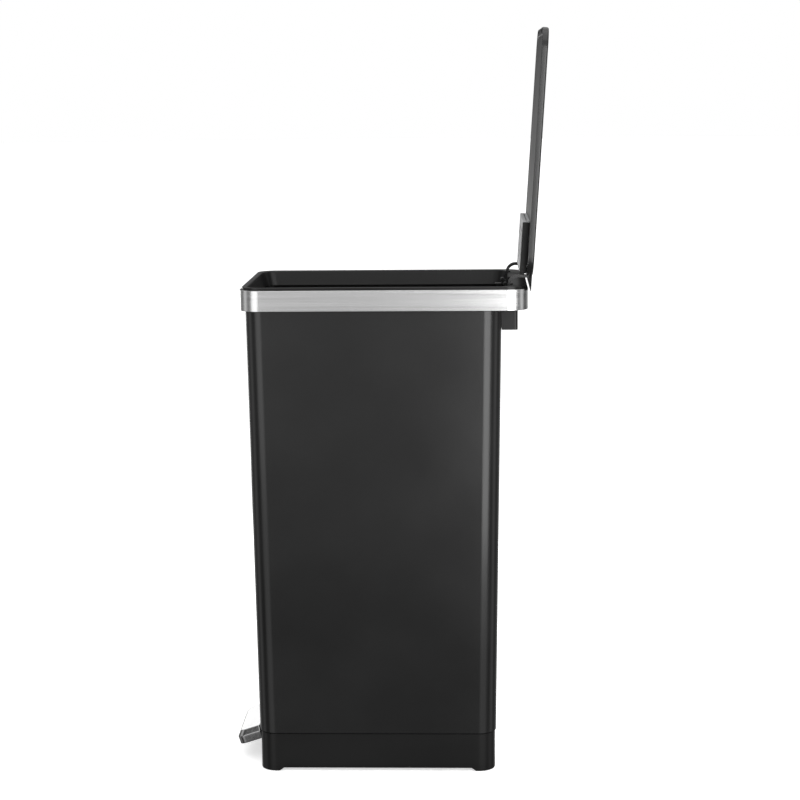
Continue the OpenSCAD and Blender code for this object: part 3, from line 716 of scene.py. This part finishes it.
def screw_group(name, node, undo=Matrix(), head=2.0, head_up=False):
    """Pan-head screws with a cross recess and a threaded shank, one in each CAD solid's place."""
    crest, root, pitch, n = 1.5, 1.22, 0.6, 48
    bm = bmesh.new()
    for lo, hi in solids(node, undo):
        c = (lo + hi) / 2
        r = (hi.x - lo.x) / 2
        length = hi.z - lo.z
        flip = Matrix() if head_up else Matrix.Rotation(math.pi, 4, "X")
        z_at = lo.z + length - head if head_up else lo.z + head
        at = Matrix.Translation((c.x, c.y, z_at)) @ flip
        arms = 0.16 * 2 * r

        def depth(x, y, full):
            """The cross recess, tapering outwards."""
            near = min(abs(x), abs(y))
            far = max(abs(x), abs(y))
            if far > r * 0.56:
                return 0.0
            return full * (1 - far / (r * 0.62)) if near < arms / 2 else 0.0

        prof = [(0.05 * r, head), (0.16 * r, head * 0.998), (0.26 * r, head * 0.99),
                (0.36 * r, head * 0.975), (0.46 * r, head * 0.95), (0.56 * r, head * 0.92),
                (0.7 * r, head * 0.84), (0.84 * r, head * 0.7), (0.95 * r, head * 0.48),
                (r, head * 0.22), (r, 0.02), (r * 0.97, 0.0)]
        rings = []
        for pr, pz in prof:
            ring = []
            for x, y in around(pr, n):
                sunk = depth(x, y, head * 0.55) if pr < 0.6 * r else 0.0
                ring.append(at @ Vector((x, y, pz - sunk)))
            rings.append(ring)
        z = 0.0
        end = head - length
        while z > end + 1.2:
            for rr, dz in ((crest, 0.0), (crest, 0.12), (root, 0.35), (root, 0.47)):
                rings.append(circle(rr, z - dz, n, at))
            z -= pitch
        rings += [circle(1.2, end + 0.5, n, at), circle(0.7, end, n, at)]
        part = bmesh.new()
        loft(part, rings, cap0=True, cap1=True)
        join(bm, part)
    piece(name, bm, node, at=undo.inverted(), smooth=50, weighted=False)


# ---------------------------------------------------------------- build

steel_body()
plastic_base()
foot_pads()
steel_band()
bucket()
lid_skin()
lid_inner_panel()
filter_felt()
tread()
rivets()
screw_group("base_screw_set", "base_screws")
screw_group("housing_screw_set", "housing_screws")
screw_group("block_screw_set", "hinge_block_screws", head=1.8)
screw_group("bracket_screw_set", "bracket_screws", head_up=True)
screw_group("arm_screw_set", "arm_screws", ON_LID.inverted(), head=1.6)
rim_moulding()
# (piece, CAD node, edge rounding, segments if not three)
for row in (("floor_pan", "base_pan", 0.5), ("rear_cover", "rear_housing", 0.7),
            ("hinge_block_pair", "hinge_blocks", 0.5), ("hinge_pin_rod", "hinge_pin", 0.5),
            ("damper_barrel", "damper_cylinder", 0.5), ("rod_duct", "rod_channel", 0.3),
            ("rod_guide_pair", "rod_guides", 0.5), ("axle_bracket", "pedal_bracket", 0.5),
            ("axle_pin", "pedal_axle", 0.5), ("axle_clip_pair", "axle_clips", 0.3),
            ("rear_flap", "lid_flap", 0.35), ("hinge_sleeve", "hinge_tube", 0.4),
            ("gooseneck_left", "hinge_arm_left", 0.8), ("gooseneck_right", "hinge_arm_right", 0.8),
            ("lift_finger", "lift_crank", 0.6), ("damper_finger", "damper_crank", 0.6),
            ("filter_case", "filter_housing", 0.5), ("filter_grille", "filter_door", 0.35, 2),
            ("bumper_pair", "lid_bumpers", 0.25), ("lever_bar", "pedal_lever", 0.9),
            ("lift_rod", "push_rod", 0.6), ("rod_foot_head", "rod_head", 0.5),
            ("damper_stem", "damper_plunger", 0.4)):
    softened(*row)


# ---------------------------------------------------------------- stage, light and camera

def stage():
    """A pale floor that glows a little and takes no part in reflections or shadows."""
    bm = bmesh.new()
    bmesh.ops.create_circle(bm, cap_ends=True, segments=64, radius=30)
    me = bpy.data.meshes.new("floor")
    bm.to_mesh(me)
    bm.free()
    floor = bpy.data.objects.new("floor", me)
    floor.location = (0, 0, CAD_BOX[0][2] - 0.0002)
    bpy.context.scene.collection.objects.link(floor)
    mat, nt, bsdf = new_material("pale_floor")
    tint(nt, bsdf, noise(nt, 0.8, 2), grey(0.93, 1), grey(0.95, 1))
    bsdf.inputs["Roughness"].default_value = 0.9
    bsdf.inputs["Specular IOR Level"].default_value = 0.1
    bsdf.inputs["Emission Color"].default_value = (1, 1, 1, 1)
    bsdf.inputs["Emission Strength"].default_value = 0.55
    me.materials.append(mat)
    floor.visible_glossy = False
    floor.visible_diffuse = False
    floor.visible_shadow = False


# The studio's walls as (azimuth or elevation in degrees, brightness). Azimuth 0 is the camera's side.
# NEAR_WALLS is what the side towards the camera reflects, by azimuth, and DROP its fall towards the floor
NEAR_WALLS = [(-180, 0.16), (-150, 0.16), (-125, 0.14), (-104, 0.2), (-96, 0.5), (-84, 0.5), (-76, 0.4),
              (-48, 0.45), (-38, 0.85), (-22, 1.15), (-12, 0.85), (-6, 1.3), (-3.5, 0.95), (1, 1.15),
              (12, 1.35), (26, 0.7), (34, 0.6), (44, 1.3), (54, 1.4), (62, 0.3), (72, 0.3), (82, 0.55),
              (94, 0.5), (104, 0.07), (150, 0.06), (180, 0.12)]
DROP = [(-90, 0.08), (-20, 0.08), (-17, 0.14), (-14, 0.19), (-11.5, 0.28), (-9.3, 0.44), (-7, 0.68),
        (-4, 0.74), (0, 0.85), (90, 0.85)]
# FAR_WALLS is what the other sides reflect below eye level, and FAR_DROP its fall
FAR_WALLS = [(-180, 0.3), (-168, 0.45), (-156, 0.75), (-146, 0.6), (-130, 0.26), (-113, 0.1), (-104, 0.24),
             (-97, 0.56), (-85, 0.6), (-74, 0), (72, 0), (84, 0.6), (96, 0.62), (104, 0.12), (118, 0.08),
             (132, 0.16), (146, 0.5), (156, 0.75), (168, 0.45), (180, 0.3)]
FAR_DROP = [(-90, 0.5), (-30, 0.7), (-12, 0.95), (-4, 1), (3, 0), (90, 0)]
# CEILING is white but for a dark part between the camera's side and the pedal's. CEILING_EDGE is where it
# takes over from the walls
CEILING = [(-180, 1), (-95, 1), (-80, 0.08), (-30, 0.08), (-16, 1), (180, 1)]
CEILING_EDGE = [(-90, 0), (12, 0), (32, 1), (90, 1)]


def studio():
    """The studio round the object. The camera itself sees plain white instead."""
    world = bpy.data.worlds.new("studio")
    bpy.context.scene.world = world
    world.use_nodes = True
    nt = world.node_tree
    nt.nodes.clear()
    tc = nt.nodes.new("ShaderNodeTexCoord")
    xyz = nt.nodes.new("ShaderNodeSeparateXYZ")
    nt.links.new(tc.outputs["Generated"], xyz.inputs[0])

    def math_node(op, *values):
        m = nt.nodes.new("ShaderNodeMath")
        m.operation = op
        for k, v in enumerate(values):
            if isinstance(v, (int, float)):
                m.inputs[k].default_value = v
            else:
                nt.links.new(v, m.inputs[k])
        return m.outputs[0]

    def curve(value, limit, stops):
        """A ramp over (value, brightness) stops from -limit to limit. The ramp's own colours end at 1."""
        most = 4.0
        mr = nt.nodes.new("ShaderNodeMapRange")
        mr.inputs["From Min"].default_value = -limit
        mr.inputs["From Max"].default_value = limit
        nt.links.new(value, mr.inputs["Value"])
        ramp = nt.nodes.new("ShaderNodeValToRGB")
        cr = ramp.color_ramp
        cr.elements.remove(cr.elements[-1])
        for k, (at, g) in enumerate(stops):
            pos = (at + limit) / (2 * limit)
            el = cr.elements[0] if k == 0 else cr.elements.new(pos)
            el.position = pos
            el.color = (g / most, g / most, g / most, 1)
        nt.links.new(mr.outputs["Result"], ramp.inputs["Fac"])
        return math_node("MULTIPLY", ramp.outputs["Color"], most)

    def background():
        node = nt.nodes.new("ShaderNodeBackground")
        node.inputs["Color"].default_value = (1, 1, 1, 1)
        return node

    degrees = 180 / math.pi
    az = math_node("MULTIPLY", math_node("ARCTAN2", xyz.outputs["Y"], xyz.outputs["X"]), degrees)
    el = math_node("MULTIPLY", math_node("ARCSINE", xyz.outputs["Z"]), degrees)
    near = math_node("MULTIPLY", curve(az, 180, NEAR_WALLS), curve(el, 90, DROP))
    far = math_node("MULTIPLY", curve(az, 180, FAR_WALLS), curve(el, 90, FAR_DROP))
    mix = nt.nodes.new("ShaderNodeMix")
    mix.data_type = "FLOAT"
    nt.links.new(curve(el, 90, CEILING_EDGE), mix.inputs[0])
    nt.links.new(math_node("ADD", near, far), mix.inputs[2])
    nt.links.new(curve(az, 180, CEILING), mix.inputs[3])
    lit, seen = background(), background()
    nt.links.new(mix.outputs[0], lit.inputs["Strength"])
    seen.inputs["Strength"].default_value = 1.0
    path = nt.nodes.new("ShaderNodeLightPath")
    pick = nt.nodes.new("ShaderNodeMixShader")
    nt.links.new(path.outputs["Is Camera Ray"], pick.inputs[0])
    nt.links.new(lit.outputs[0], pick.inputs[1])
    nt.links.new(seen.outputs[0], pick.inputs[2])
    out = nt.nodes.new("ShaderNodeOutputWorld")
    nt.links.new(pick.outputs[0], out.inputs["Surface"])


def lamp(name, at, to, size, radiance):
    """A soft rectangular panel that the camera doesn't see."""
    data = bpy.data.lights.new(name, "AREA")
    data.shape = "RECTANGLE"
    data.size, data.size_y = size
    data.energy = radiance * math.pi * size[0] * size[1]
    o = bpy.data.objects.new(name, data)
    o.location = Vector(at) + MM * HOME.translation
    o.rotation_euler = (Vector(to) - Vector(at)).to_track_quat("-Z", "Y").to_euler()
    o.visible_camera = False
    bpy.context.scene.collection.objects.link(o)


def strip(name, corner, azimuths, low, high, radiance):
    """A panel with its ends a metre from a corner of the body, between two azimuths and two heights."""
    ends = [Vector(corner) + Vector((math.cos(a), math.sin(a), 0)) for a in map(math.radians, azimuths)]
    mid = (ends[0] + ends[1]) / 2
    mid.z = (low + high) / 2
    lamp(name, mid, (corner[0], corner[1], mid.z), ((ends[0] - ends[1]).length, high - low), radiance)


def camera():
    """Almost square on to the right side, from above the rim and looking slightly down."""
    at = (2.84265, 0.13322, 0.92944)
    tilt, roll, turn = 81.2712, 0.5198, 91.9855
    data = bpy.data.cameras.new("camera")
    data.lens = 94.0
    data.sensor_width = 36.0
    o = bpy.data.objects.new("camera", data)
    o.location = Vector(at) + MM * HOME.translation
    o.rotation_euler = [math.radians(a) for a in (tilt, roll, turn)]
    bpy.context.scene.collection.objects.link(o)
    bpy.context.scene.camera = o


stage()
studio()
lamp("overhead", (0.6, 0.0, 3.2), (0, 0, 0.3), (3.0, 3.0), 0.9)
# Each strip has a dimmer part below it, for what a bright floor would send up
RIGHT, LEFT = (0.12, 0.15, 0), (0.12, -0.15, 0)
strip("strip_right", RIGHT, (6, 47), 0.05, 1.15, 4.0)
strip("strip_right_low", RIGHT, (6, 47), -0.5, 0.05, 0.5)
strip("strip_left", LEFT, (-14, -50), 0.2, 1.15, 1.3)
strip("strip_left_low", LEFT, (-14, -50), -0.5, 0.2, 0.55)
lamp("behind", (-1.46, -0.6, 0.33), (0, -0.18, 0.04), (1.3, 0.5), 2.0)
camera()
bpy.context.scene.view_settings.view_transform = "Standard"
